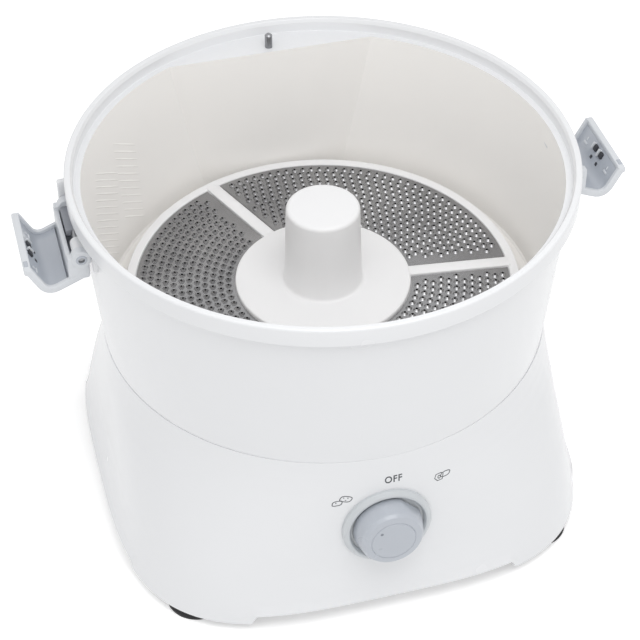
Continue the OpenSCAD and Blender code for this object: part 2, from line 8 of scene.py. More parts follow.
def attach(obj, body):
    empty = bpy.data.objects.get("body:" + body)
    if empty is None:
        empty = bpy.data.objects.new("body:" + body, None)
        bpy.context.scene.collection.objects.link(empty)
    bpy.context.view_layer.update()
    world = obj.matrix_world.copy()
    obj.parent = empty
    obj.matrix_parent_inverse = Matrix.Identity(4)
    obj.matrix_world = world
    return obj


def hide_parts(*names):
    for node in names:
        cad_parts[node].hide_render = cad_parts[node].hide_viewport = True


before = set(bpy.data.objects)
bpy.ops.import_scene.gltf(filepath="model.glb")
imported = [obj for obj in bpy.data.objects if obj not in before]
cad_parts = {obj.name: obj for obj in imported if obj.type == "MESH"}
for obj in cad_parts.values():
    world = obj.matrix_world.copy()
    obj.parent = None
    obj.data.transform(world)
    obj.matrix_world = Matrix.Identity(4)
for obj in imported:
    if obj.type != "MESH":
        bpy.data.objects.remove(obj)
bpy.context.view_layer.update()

mm = 0.001  # one millimetre in metres
tau = 2 * math.pi


def addObject(name, data):
    obj = bpy.data.objects.new(name, data)
    bpy.context.scene.collection.objects.link(obj)
    return obj


# camera: a long lens a little above and to the left of the front; sizes in mm, angles in degrees
cameraView = {"lens": 100, "sensor": 36, "distance": 923.33, "lookHeight": 100, "near": 10,
              "elevation": 41.78, "azimuth": -15.34, "shiftX": -0.00478, "shiftY": -0.02755}


def makeCamera(v):
    cam = addObject("camera", bpy.data.cameras.new("camera"))
    cam.data.lens = v["lens"]
    cam.data.sensor_width = v["sensor"]
    cam.data.shift_x = v["shiftX"]
    cam.data.shift_y = v["shiftY"]
    cam.data.clip_start = v["near"] * mm
    el, az = math.radians(v["elevation"]), math.radians(v["azimuth"])
    away = Vector((math.sin(az) * math.cos(el), -math.cos(az) * math.cos(el), math.sin(el)))
    cam.location = Vector((0, 0, v["lookHeight"] * mm)) + away * v["distance"] * mm
    cam.rotation_euler = (math.pi / 2 - el, 0, az)
    bpy.context.scene.camera = cam


makeCamera(cameraView)
bpy.context.scene.view_settings.view_transform = "Standard"
print("camera set")

# what every plastic and every metal has in common; clouds, grains, lines and smears are counted along
# a millimetre, so 0.022 is a cloud 45 mm wide and 1.5 a grain 0.67 mm wide; a real moulded skin is
# finer and wouldn't show, so its grain is drawn coarser
plastic = {"clouds": 0.022, "cloudDetail": 3, "grainDetail": 2, "relief": 0.5, "ior": 1.5,
           "coatRoughness": 0.08}
worked = {"lines": 0.9, "lineDetail": 4, "smears": 0.04, "smearDetail": 3, "relief": 0.4}
rampEnds = (0.15, 0.85)  # where in a noise's range the two colours of a material lie


def toLinear(hexColour):
    # sRGB hex to the linear values that sockets take, by the standard curve
    parts = [int(hexColour[i:i + 2], 16) / 255 for i in (1, 3, 5)]
    return tuple(c / 12.92 if c <= 0.04045 else ((c + 0.055) / 1.055) ** 2.4 for c in parts) + (1,)


def addNode(tree, kind, settings=None, inputs=None):
    # adds a node; an input is a value or a linked socket
    node = tree.nodes.new(kind)
    for key, value in (settings or {}).items():
        setattr(node, key, value)
    for key, value in (inputs or {}).items():
        if isinstance(value, bpy.types.NodeSocket):
            tree.links.new(value, node.inputs[key])
        else:
            node.inputs[key].default_value = value
    return node


def newMaterial(name):
    mat = bpy.data.materials.new(name)
    mat.use_nodes = True
    tree = mat.node_tree
    return mat, tree, tree.nodes["Principled BSDF"]


def giveSkin(tree, colours, colourBy, rough, roughBy, depth, heightBy, relief):
    # colour, roughness (middle and spread) and relief (depth in mm), each led by a noise
    bsdf = tree.nodes["Principled BSDF"]
    ramp = addNode(tree, "ShaderNodeValToRGB", inputs={"Fac": colourBy})
    for i, colour in enumerate(colours):
        ramp.color_ramp.elements[i].position = rampEnds[i]
        ramp.color_ramp.elements[i].color = toLinear(colour)
    sheen = addNode(tree, "ShaderNodeMapRange", inputs={
        "Value": roughBy, "To Min": rough[0] - rough[1], "To Max": rough[0] + rough[1]})
    bump = addNode(tree, "ShaderNodeBump", inputs={
        "Height": heightBy, "Distance": depth * mm, "Strength": relief})
    tree.links.new(ramp.outputs["Color"], bsdf.inputs["Base Color"])
    tree.links.new(sheen.outputs["Result"], bsdf.inputs["Roughness"])
    tree.links.new(bump.outputs["Normal"], bsdf.inputs["Normal"])


def moulded(name, colours, rough, grains, depth, coat=0.0):
    # injection-moulded plastic: nearly even colour, faint cloudiness, very fine skin
    mat, tree, bsdf = newMaterial(name)
    place = addNode(tree, "ShaderNodeTexCoord").outputs["Object"]
    cloud = addNode(tree, "ShaderNodeTexNoise", inputs={
        "Vector": place, "Scale": plastic["clouds"] / mm, "Detail": plastic["cloudDetail"]})
    skin = addNode(tree, "ShaderNodeTexNoise", inputs={
        "Vector": place, "Scale": grains / mm, "Detail": plastic["grainDetail"]})
    giveSkin(tree, colours, cloud.outputs["Fac"], rough, cloud.outputs["Fac"], depth,
             skin.outputs["Fac"], plastic["relief"])
    bsdf.inputs["IOR"].default_value = plastic["ior"]
    bsdf.inputs["Coat Weight"].default_value = coat
    bsdf.inputs["Coat Roughness"].default_value = plastic["coatRoughness"]
    return mat


def metal(name, colours, rough, stretch, depth):
    # worked metal: fine lines along the way it was brushed or turned
    mat, tree, bsdf = newMaterial(name)
    place = addNode(tree, "ShaderNodeTexCoord").outputs["Object"]
    drawn = addNode(tree, "ShaderNodeMapping", inputs={"Vector": place, "Scale": stretch})
    lines = addNode(tree, "ShaderNodeTexNoise", inputs={
        "Vector": drawn.outputs["Vector"], "Scale": worked["lines"] / mm,
        "Detail": worked["lineDetail"]})
    smear = addNode(tree, "ShaderNodeTexNoise", inputs={
        "Vector": place, "Scale": worked["smears"] / mm, "Detail": worked["smearDetail"]})
    giveSkin(tree, colours, smear.outputs["Fac"], rough, lines.outputs["Fac"], depth,
             lines.outputs["Fac"], worked["relief"])
    bsdf.inputs["Metallic"].default_value = 1.0
    return mat


# polished tool, soft sheen
glossWhite = moulded("glossy white ABS", ("#e5e6e8", "#e6e7e9"),
                     rough=(0.27, 0.008), grains=1.5, depth=0.01, coat=0.15)
# fine-textured, and painted lighter and warmer than the outside white, standing in for the light inside
# the bowl
innerWhite = moulded("satin white ABS inside the bowl, painted lighter", ("#f8f6f3", "#faf8f5"),
                     rough=(0.4, 0.02), grains=1.1, depth=0.02)
# softer, less glossy than ABS
satinWhite = moulded("white polypropylene", ("#e9e9ea", "#ececed"),
                     rough=(0.42, 0.02), grains=1.1, depth=0.02)
# even grey with a clear sheen
silverGrey = moulded("silver grey ABS", ("#b2b7bf", "#b7bcc4"),
                     rough=(0.28, 0.03), grains=1.4, depth=0.01, coat=0.3)
# a shade less blue than the knob
warmSilver = moulded("silver grey ABS, bezel batch", ("#c3c7ca", "#c8cccf"),
                     rough=(0.28, 0.03), grains=1.4, depth=0.01, coat=0.3)
# lighter shot of the same plastic
paleGrey = moulded("pale grey ABS", ("#d3d6da", "#d7dade"),
                   rough=(0.3, 0.03), grains=1.4, depth=0.01, coat=0.2)
# waxy off-white
naturalAcetal = moulded("natural acetal", ("#d8d5c8", "#e2dfd3"),
                        rough=(0.45, 0.06), grains=0.9, depth=0.02)
# dry dark plastic
blackNylon = moulded("black nylon", ("#141416", "#1c1c1e"),
                     rough=(0.5, 0.08), grains=0.8, depth=0.03)
# matte with soft highlights
blackRubber = moulded("moulded black rubber", ("#0e0e10", "#17171a"),
                      rough=(0.55, 0.08), grains=0.5, depth=0.04)
# glassy green lacquer
boardGreen = moulded("coated circuit laminate", ("#0f4a2a", "#145a34"),
                     rough=(0.35, 0.06), grains=0.3, depth=0.03)
# painted shade: dark grey standing in for the shade inside small openings in the clip's lip
shadeGrey = moulded("painted shade of the clip lip openings", ("#34363b", "#3e4045"),
                    rough=(0.5, 0.05), grains=0.9, depth=0.01)
# painted shade: a mid grey plate standing in for the shade seen behind the hinge knuckles
shadePlateGrey = moulded("painted shade behind the hinge knuckles", ("#8f929a", "#989ba2"),
                   rough=(0.45, 0.05), grains=0.9, depth=0.02)
# soft mark in a shallow dimple
pipGrey = moulded("grey pointer ink", ("#7d828a", "#858a92"),
                  rough=(0.4, 0.05), grains=0.9, depth=0.005)
# thin flat ink
printGrey = moulded("pad-printed dark grey ink", ("#464a4e", "#4c5054"),
                    rough=(0.5, 0.05), grains=0.9, depth=0.005)
# cold-rolled and brushed one way, so its lines are 14 times narrower than they are long
brushedSteel = metal("brushed stainless sheet", ("#8d8d8f", "#a3a3a4"),
                     rough=(0.26, 0.07), stretch=(1, 14, 1), depth=0.01)
# painted shade: dark steel standing in for the shade deep in a punched hole
holeShade = metal("painted shade in punched holes", ("#1b1a19", "#262422"),
                  rough=(0.45, 0.05), stretch=(1, 1, 1), depth=0.01)
# lathe lines round the part
turnedSteel = metal("turned steel", ("#8e8f92", "#a0a1a4"),
                    rough=(0.3, 0.06), stretch=(1, 1, 20), depth=0.01)
# dull grey, slightly pebbled
castZinc = metal("die-cast zinc", ("#8b8d90", "#9b9da0"),
                 rough=(0.45, 0.08), stretch=(1, 1, 1), depth=0.03)
# porous brown metal
sinteredBronze = metal("sintered bronze", ("#7d5a33", "#8f6a3f"),
                       rough=(0.5, 0.06), stretch=(1, 1, 1), depth=0.03)
print("materials made")

# meshes are made in millimetres; these hold for all of them
arcSteps = 8  # parts of each rounded corner
smallTurn = 48  # parts of a full turn of a small ring or rod
bevelSteps = 2  # parts across each bevel
weldGap = 0.0005  # corners closer than this become one
cutGap = 0.001  # corners closer than this to a cut lie on it
edgeShare = 0.49  # the most that a rounded corner takes of a straight


def rounded(points):
    # turns (x, y, radius) corners into arcs
    out = []
    for i, p in enumerate(points):
        here = Vector(p[:2])
        radius = p[2] if len(p) > 2 else 0
        if not radius:
            out.append(tuple(here))
            continue
        before = Vector(points[i - 1][:2]) - here
        after = Vector(points[(i + 1) % len(points)][:2]) - here
        back = min(radius / math.tan(before.angle(after) / 2),
                   before.length * edgeShare, after.length * edgeShare)
        start, end = here + before.normalized() * back, here + after.normalized() * back
        for k in range(arcSteps + 1):
            t = k / arcSteps
            out.append(tuple(start * (1 - t) ** 2 + here * 2 * t * (1 - t) + end * t ** 2))
    return out


def lathe(profile, segments):
    # spins a closed (radius, height) outline round Z
    bm = bmesh.new()
    verts = [bm.verts.new((r, 0, z)) for r, z in profile]
    edges = [bm.edges.new((verts[i], verts[(i + 1) % len(verts)])) for i in range(len(verts))]
    bmesh.ops.spin(bm, geom=verts + edges, cent=(0, 0, 0), axis=(0, 0, 1), angle=tau, steps=segments,
                   use_merge=True, use_duplicate=False)
    bmesh.ops.remove_doubles(bm, verts=bm.verts[:], dist=weldGap)
    bmesh.ops.recalc_face_normals(bm, faces=bm.faces[:])
    return bm


def prism(outline, low, high):
    # a flat outline in X and Y, raised from low to high
    bm = bmesh.new()
    face = bm.faces.new([bm.verts.new((x, y, low)) for x, y in outline])
    top = bmesh.ops.extrude_face_region(bm, geom=[face])
    moved = [g for g in top["geom"] if isinstance(g, bmesh.types.BMVert)]
    bmesh.ops.translate(bm, verts=moved, vec=(0, 0, high - low))
    bmesh.ops.recalc_face_normals(bm, faces=bm.faces[:])
    return bm


def bevelled(bm, edges, bevelBy):
    bmesh.ops.bevel(bm, geom=edges, offset=bevelBy, affect="EDGES", segments=bevelSteps, profile=0.5,
                    material=-1, clamp_overlap=True)
    return bm


def block(size, place, bevelBy):
    bm = bmesh.new()
    bmesh.ops.create_cube(bm, size=1)
    bmesh.ops.scale(bm, vec=size, verts=bm.verts[:])
    bmesh.ops.translate(bm, vec=place, verts=bm.verts[:])
    return bevelled(bm, bm.edges[:], bevelBy)


def between(low, high, bevelBy):
    # a bevelled block given by its two corners
    low, high = Vector(low), Vector(high)
    return block(tuple(high - low), tuple((low + high) / 2), bevelBy)


def withEdges(faces):
    # faces with their edges and corners, as a cut takes them
    edges, verts = {e for f in faces for e in f.edges}, {v for f in faces for v in f.verts}
    return faces + list(edges) + list(verts)


def joined(parts):
    # puts several bmeshes into the first one
    base = parts[0]
    for extra in parts[1:]:
        scratch = bpy.data.meshes.new("scratch")
        extra.to_mesh(scratch)
        base.from_mesh(scratch)
        bpy.data.meshes.remove(scratch)
        extra.free()
    return base


def placed(bm, matrix):
    bmesh.ops.transform(bm, matrix=matrix, verts=bm.verts[:])
    if matrix.determinant() < 0:
        bmesh.ops.reverse_faces(bm, faces=bm.faces[:])
    return bm


def turned(degrees, axis):
    return Matrix.Rotation(math.radians(degrees), 4, axis)


def piece(bm, name, body, materials, replaced=(), sharp=35):
    # makes the finished object, in metres, riding on its body
    bmesh.ops.scale(bm, vec=(mm, mm, mm), verts=bm.verts[:])
    mesh = bpy.data.meshes.new(name)
    bm.to_mesh(mesh)
    bm.free()
    mesh.shade_smooth()
    mesh.set_sharp_from_angle(angle=math.radians(sharp))
    obj = addObject(name, mesh)
    for mat in materials:
        mesh.materials.append(mat)
    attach(obj, body)
    if replaced:
        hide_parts(*replaced)
    return obj


# bowl: the seat is the step for a lid, the cove the foot of the inner wall, the spigot the collar that
# goes down into the base; rounds are the radii of its rounded edges
bowl = {"rimHeight": 195, "rimRadius": 125, "bandHeight": 10, "lip": 3, "lipDraft": 1, "lipDrop": 2,
        "seatDrop": 7, "seatIn": 1.2, "seatEdge": 0.05, "topRadius": 120.8, "bottomRadius": 113.8,
        "wall": 3.2, "waist": 100, "floor": 4, "coveHigh": 3, "coveLow": 1, "coveIn": 1,
        "flatWall": 104, "bossRadius": 12, "bossHeight": 20, "bore": 8, "spigotRadius": 110.9,
        "spigotWall": 2.4, "spigotDrop": 6, "segments": 288, "room": 0.1,
        "rounds": {"crease": 0.4, "bandFoot": 0.9, "rimOut": 1.3, "rimIn": 0.9, "lip": 0.8,
                   "seat": 0.6, "bossFoot": 1.5, "bossTop": 0.8}}
bowlSeat = bowl["rimHeight"] - bowl["seatDrop"]
bowlFloor = bowl["waist"] + bowl["floor"]


def innerRadius(z):
    # the bowl's inner wall, which widens a little towards the lid seat
    b = bowl
    coneHeight = b["rimHeight"] - b["bandHeight"] - b["waist"]
    slope = (b["topRadius"] - b["bottomRadius"]) / coneHeight
    low, top = b["bottomRadius"] + slope * b["floor"] - b["wall"], b["topRadius"] - b["wall"]
    return low + (top - low) * (z - bowlFloor) / (bowlSeat - bowlFloor)


def onInside(p, above, beyond):
    # whether a point is on the bowl's inside, with so much room above the seat and beyond the wall
    return (bowlFloor - bowl["room"] < p.z < bowlSeat + above
            and math.hypot(p.x, p.y) < innerRadius(p.z) + beyond)


def makeBowl(b):
    rim, band, waist = b["rimHeight"], b["rimHeight"] - b["bandHeight"], b["waist"]
    lipIn, bossTop = b["rimRadius"] - b["lip"], bowlFloor + b["bossHeight"]
    spigotOut, spigotIn = b["spigotRadius"], b["spigotRadius"] - b["spigotWall"]
    spigotFoot, seatIn, r = waist - b["spigotDrop"], innerRadius(bowlSeat), b["rounds"]
    coveHigh, coveLow = bowlFloor + b["coveHigh"], bowlFloor + b["coveLow"]
    bm = lathe(rounded([
        (spigotOut, waist), (b["bottomRadius"], waist), (b["topRadius"], band, r["crease"]),
        (b["rimRadius"], band, r["bandFoot"]), (b["rimRadius"], rim, r["rimOut"]),
        (lipIn, rim, r["rimIn"]), (lipIn - b["lipDraft"], rim - b["lipDrop"], r["lip"]),
        (lipIn - b["seatIn"], bowlSeat, r["seat"]), (seatIn + b["seatEdge"], bowlSeat),
        (seatIn, bowlSeat), (innerRadius(coveHigh), coveHigh), (innerRadius(coveLow), coveLow),
        (innerRadius(bowlFloor) - b["coveIn"], bowlFloor), (b["bossRadius"], bowlFloor, r["bossFoot"]),
        (b["bossRadius"], bossTop, r["bossTop"]), (b["bore"], bossTop), (b["bore"], waist),
        (spigotIn, waist), (spigotIn, spigotFoot), (spigotOut, spigotFoot)]), b["segments"])

    def corner(v):
        return onInside(v.co, 0.01, 0.02)
    # the flat wall at the back: cut the inner wall along its plane, then press what lies beyond onto it
    near = withEdges([f for f in bm.faces if all(corner(v) for v in f.verts)])
    bmesh.ops.bisect_plane(bm, geom=near, plane_co=(0, b["flatWall"], 0), plane_no=(0, 1, 0),
                           dist=cutGap)
    for v in bm.verts:
        if v.co.y > b["flatWall"] and corner(v):
            v.co.y = b["flatWall"]
    # the inside has its own, finer finish, and a lighter colour that is painted light
    for f in bm.faces:
        if onInside(f.calc_center_median(), -0.02, 0.04):
            f.material_index = 1
    piece(bm, "bowlShell", "housing", [glossWhite, innerWhite], ["bowl"], sharp=19)


makeBowl(bowl)

# short raised dashes on the left of the inner wall, in two slanting columns; each column gives the
# first row's ends as (angle, height), how far both ends move from row to row, and the number of rows
dashes = {"columns": [((154.8, 168.6), (142.4, 151.2), (0.93, -2.85), (0.6, -3.5), 13),
                      ((142.6, 169.5), (133.2, 157.0), (0.05, -4.6), (0.08, -4.5), 11)],
          "width": 1.2, "crest": 0.45, "proud": 0.25, "sunk": 0.2, "blunt": 4, "cuts": 9}


def makeDashes(d):
    parts = []
    for start, end, startStep, endStep, rows in d["columns"]:
        for row in range(rows):
            a = [start[k] + startStep[k] * row for k in range(2)]
            b = [end[k] + endStep[k] * row for k in range(2)]
            bm = bmesh.new()
            bmesh.ops.create_cube(bm, size=1)
            long = [e for e in bm.edges if abs(e.verts[0].co.x - e.verts[1].co.x) > 0.5]
            bmesh.ops.subdivide_edges(bm, edges=long, cuts=d["cuts"], use_grid_fill=True)
            for v in bm.verts:
                # t runs from one end to the other; the crest is narrower and fades out at both ends
                t, upper = v.co.x + 0.5, v.co.z > 0
                z = a[1] + (b[1] - a[1]) * t + v.co.y * d["width"] * (d["crest"] if upper else 1)
                fade = max(0.0, 1 - (2 * t - 1) ** d["blunt"]) ** 0.5
                angle = math.radians(a[0] + (b[0] - a[0]) * t)
                r = innerRadius(z) - (d["proud"] * fade if upper else -d["sunk"])
                v.co = (r * math.cos(angle), r * math.sin(angle), z)
            bmesh.ops.recalc_face_normals(bm, faces=bm.faces[:])
            parts.append(bm)
    # the dashes share the inside's white, painted lighter like the wall
    piece(joined(parts), "wallDashes", "housing", [innerWhite], sharp=60)


makeDashes(dashes)
print("bowl made")

# base: keys are (height, half width, squareness) from the skirt up to the waist; step cuts lie this far
# from the arch's half width, and the arch comes down between the first and the last of them
base = {"keys": [(5, 126, 3.4), (30, 119.2, 3.7), (56, 117, 2.8), (80, 115.5, 2.15), (100, 113.8, 2)],
        "soften": 7, "low": 5, "archHeight": 10.5, "archHalf": 69, "overArch": 4, "wall": 2.6,
        "stepCuts": (-2.4, -1.2, -0.5, 0, 0.4, 0.8, 1.4), "near": 0.1, "segments": 320, "rings": 46}


def keyed(z, column):
    keys = base["keys"]
    z = min(max(z, keys[0][0]), keys[-1][0])
    for a, b in zip(keys, keys[1:]):
        if z <= b[0]:
            return a[column] + (b[column] - a[column]) * (z - a[0]) / (b[0] - a[0])


def softened(z, column):
    d, low, high = base["soften"], base["keys"][0][0], base["keys"][-1][0]
    return (keyed(max(low, z - d), column) + 2 * keyed(z, column) + keyed(min(high, z + d), column)) / 4


def makeBase(b):
    bm = bmesh.new()
    ring = bmesh.ops.create_circle(bm, segments=b["segments"], radius=1)["verts"]
    edges = bm.edges[:]
    top, first = b["keys"][-1][0], b["archHeight"] + b["overArch"]
    heights = [b["low"]] + [first + (top - first) * i / b["rings"] for i in range(b["rings"] + 1)]

    def settle(verts, z):
        # puts a ring on the rounded square of its height
        w, n = softened(z, 1), softened(z, 2)
        for v in verts:
            a = math.atan2(v.co.y, v.co.x)
            r = w / (abs(math.cos(a)) ** n + abs(math.sin(a)) ** n) ** (1 / n)
            v.co = (r * math.cos(a), r * math.sin(a), z)
    settle(ring, heights[0])
    for z in heights[1:]:
        grown = bmesh.ops.extrude_edge_only(bm, edges=edges)["geom"]
        edges = [g for g in grown if isinstance(g, bmesh.types.BMEdge)]
        settle([g for g in grown if isinstance(g, bmesh.types.BMVert)], z)
    # cuts that give the arch ends their rounded steps
    foot, cuts = b["low"] + b["near"], b["stepCuts"]
    for axis in ((1, 0, 0), (0, 1, 0)):
        for side in (-1, 1):
            for cut in cuts:
                low = [f for f in bm.faces if min(v.co.z for v in f.verts) < foot]
                bmesh.ops.bisect_plane(bm, geom=withEdges(low), plane_no=axis, dist=cutGap,
                                       plane_co=Vector(axis) * side * (b["archHalf"] + cut))
    for v in bm.verts:
        if v.co.z < foot:
            t = (min(abs(v.co.x), abs(v.co.y)) - b["archHalf"] - cuts[0]) / (cuts[-1] - cuts[0])
            t = min(1, max(0, t))
            v.co.z = b["archHeight"] + (b["low"] - b["archHeight"]) * (t * t * (3 - 2 * t))
    bmesh.ops.recalc_face_normals(bm, faces=bm.faces[:])
    if bm.faces[0].normal.dot(bm.faces[0].calc_center_median() * Vector((1, 1, 0))) < 0:
        bmesh.ops.reverse_faces(bm, faces=bm.faces[:])
    bmesh.ops.solidify(bm, geom=bm.faces[:], thickness=b["wall"])
    return piece(bm, "baseShell", "housing", [glossWhite], ["base_housing"], sharp=40)


baseShell = makeBase(base)
print("base made")

# disc: a raised middle with a tall hub, three spokes and an outer ring; the socket takes the shaft and
# the recess goes over the boss of the bowl
disc = {"low": 110, "deck": 115, "top": 118, "plateauRadius": 45, "radius": 101.5, "ringWidth": 5,
        "ringRise": 1.2, "ledge": 3, "hubRadius": 19.3, "hubFlare": 0.6, "hubDraft": 0.8, "hubTop": 164,
        "socket": 5.05, "socketRoof": 10, "recess": 13.5, "recessTop": 127, "spokeWidth": 7,
        "spokes": 3, "firstSpoke": 113, "spokeTop": 116.6, "spokeSink": 1.5, "spokeBevel": 0.6,
        "hubSegments": 160, "ringSegments": 200,
        "rounds": {"plateau": 1.2, "hubFoot": 2.2, "hubTop": 2.6, "ringFoot": 0.6, "ringOut": 0.8,
                   "ringIn": 0.5}}


def makeDisc(d):
    r, low, deck, top, hubTop = d["rounds"], d["low"], d["deck"], d["top"], d["hubTop"]
    ledge, socketTop = d["plateauRadius"] + d["ledge"], hubTop - d["socketRoof"]
    hub = lathe(rounded([
        (d["recess"], low), (ledge, low), (ledge, deck), (d["plateauRadius"], deck),
        (d["plateauRadius"], top, r["plateau"]), (d["hubRadius"] + d["hubFlare"], top, r["hubFoot"]),
        (d["hubRadius"] - d["hubDraft"], hubTop, r["hubTop"]), (0, hubTop), (0, socketTop),
        (d["socket"], socketTop), (d["socket"], d["recessTop"]), (d["recess"], d["recessTop"])]),
        d["hubSegments"])
    inner, ringTop = d["radius"] - d["ringWidth"], deck + d["ringRise"]
    ring = lathe(rounded([
        (inner - d["ledge"], low), (d["radius"], low, r["ringFoot"]),
        (d["radius"], ringTop, r["ringOut"]), (inner, ringTop, r["ringIn"]), (inner, deck),
        (inner - d["ledge"], deck)]), d["ringSegments"])
    parts = [hub, ring]
    length = inner - d["plateauRadius"] + 2 * d["spokeSink"]
    for i in range(d["spokes"]):
        bar = block((length, d["spokeWidth"], d["spokeTop"] - low),
                    (d["plateauRadius"] - d["spokeSink"] + length / 2, 0, (d["spokeTop"] + low) / 2),
                    d["spokeBevel"])
        parts.append(placed(bar, turned(d["firstSpoke"] + 360 / d["spokes"] * i, "Z")))
    piece(joined(parts), "discCarrier", "rotor", [satinWhite],
          ["rasp_disc", "disc_hub"])


makeDisc(disc)

# rasp plates: the tooth's widths and heights are shares of its foot, its hole and its height; dark
# gives how far out and how high the painted shade in its hole reaches, as shares of the hole and the
# height
rasp = {"inner": 45.4, "outer": 96.1, "edge": 4.2, "low": 115, "thickness": 0.8, "pitch": 4.6,
        "rowShare": 0.87, "margin": 3.2, "overMargin": 0.5, "arcSteps": 36, "foot": 1.75, "crown": 1.0,
        "hole": 0.72, "height": 1.0, "shoulder": (0.72, 0.55), "lip": 0.92, "holeFoot": 0.9,
        "holeFloor": 0.08, "lean": 0.35, "facets": 8, "dark": (1.1, 0.7)}


def makeBump(r):
    # one punched tooth: a raised crater with a shallow hole, its low faces painted dark as painted
    # shade
    shoulderOut, shoulderUp = r["shoulder"]
    bm = lathe([(r["foot"], 0), (r["foot"] * shoulderOut, r["height"] * shoulderUp),
                (r["crown"], r["height"]), (r["hole"], r["height"] * r["lip"]),
                (r["hole"] * r["holeFoot"], r["holeFloor"]), (0, r["holeFloor"]), (0, 0)], r["facets"])
    darkOut, darkUp = r["dark"]
    # faces low in the hole take the second material, the painted shade
    for f in bm.faces:
        reach = max(math.hypot(v.co.x, v.co.y) for v in f.verts)
        if f.calc_center_median().z < r["height"] * darkUp and reach < r["hole"] * darkOut:
            f.material_index = 1
    # the crater leans the way the disc turns
    for v in bm.verts:
        v.co.x += v.co.z * r["lean"]
    return bm


def plateOutline(r, half, middle):
    # a part of a ring that leaves an even edge beside the spokes; half and middle are angles
    outline = []
    for radius, way in ((r["outer"], 1), (r["inner"], -1)):
        reach = half - math.degrees(math.asin(r["edge"] / radius))
        for k in range(r["arcSteps"] + 1):
            a = math.radians(way * (2 * reach * k / r["arcSteps"] - reach) + middle)
            outline.append((radius * math.cos(a), radius * math.sin(a)))
    return outline


def makeRasp(r, d):
    half, top = 180 / d["spokes"], r["low"] + r["thickness"]
    tooth = bpy.data.meshes.new("tooth")
    bump = makeBump(r)
    bump.to_mesh(tooth)
    bump.free()
    plates = []
    for i in range(d["spokes"]):
        middle = d["firstSpoke"] + half + 2 * half * i
        plate = prism(plateOutline(r, half, middle), r["low"], top)
        row, radius = 0, r["inner"] + r["margin"]
        while radius < r["outer"] - r["margin"] + r["overMargin"]:
            reach = math.radians(half) - math.asin((r["edge"] + r["margin"]) / radius)
            count = int(2 * reach * radius / r["pitch"])
            for k in range(count):
                # every other row is half a pitch on
                off = k - (count - 1) / 2 + (0.5 if row % 2 else 0)
                a = math.radians(middle) + off * r["pitch"] / radius
                before = len(plate.verts)
                plate.from_mesh(tooth)
                plate.verts.ensure_lookup_table()
                spot = Matrix.Translation((radius * math.cos(a), radius * math.sin(a), top))
                bmesh.ops.transform(plate, matrix=spot @ Matrix.Rotation(a + math.pi / 2, 4, "Z"),
                                    verts=plate.verts[before:])
            radius += r["pitch"] * r["rowShare"]
            row += 1
        plates.append(plate)
    bpy.data.meshes.remove(tooth)
    piece(joined(plates), "raspPlates", "rotor", [brushedSteel, holeShade],
          ["rasp_plates"], sharp=50)


makeRasp(rasp, disc)
print("disc made")

# knob and bezel, drawn about Z and then turned to face out of the front; grip is (radius, height,
# rounding), and shoulder, edge, lip, groove and rest are (out from the front's or the face's radius,
# down from the front, rounding)
knob = {"height": 56, "panel": 117.04, "tilt": 4.207, "radius": 17.5, "gap": 1.2, "bezelWidth": 3.9,
        "seat": 0.6, "dishRadius": 5, "dishHeight": 0.6, "bezelHeight": 3.3, "under": 1.3,
        "bezelCut": 1.7, "mouthCut": (0.9, 1.4), "bezelRounds": (0.7, 1.2, 0.7, 0.5),
        "frontRadius": 15.0, "front": 12.6, "flat": 16, "pointerAngle": 135, "faceRadius": 10.8,
        "footRound": 0.4, "grip": (17.1, 4.5, 3), "shoulder": (0.7, 2.2, 1.2), "edge": (-0.6, 0.5, 1.0),
        "lip": (0.75, 0.1, 0.3), "groove": (0.3, 0.45, 0.15), "rest": (-0.1, 0, 0.25),
        "pipRadius": 0.8, "pipIn": 2.4, "pipSunk": 0.3, "pipProud": 0.12, "pipRound": 0.2,
        "spindleRadius": 3, "spindleFoot": -10, "spindleShort": 2, "spindleRounds": (0.3, 0.4),
        "segments": 128}
outOfFront = Matrix.Translation((0, -knob["panel"], knob["height"])) @ turned(90 - knob["tilt"], "X")


def makeBezel(k):
    inner, high, dish = k["radius"] + k["gap"], k["bezelHeight"], k["dishHeight"]
    outer, cut, (mouthOut, mouthDown) = inner + k["bezelWidth"], k["bezelCut"], k["mouthCut"]
    r = k["bezelRounds"]
    bm = lathe(rounded([
        (k["dishRadius"], -k["seat"]), (outer, -k["seat"]), (outer, high - cut, r[0]),
        (outer - cut, high, r[1]), (inner + mouthOut, high, r[2]), (inner, high - mouthDown, r[3]),
        (inner, dish), (k["dishRadius"], dish)]), k["segments"])
    piece(placed(bm, outOfFront), "knobBezel", "housing", [warmSilver], ["knob_bezel"])


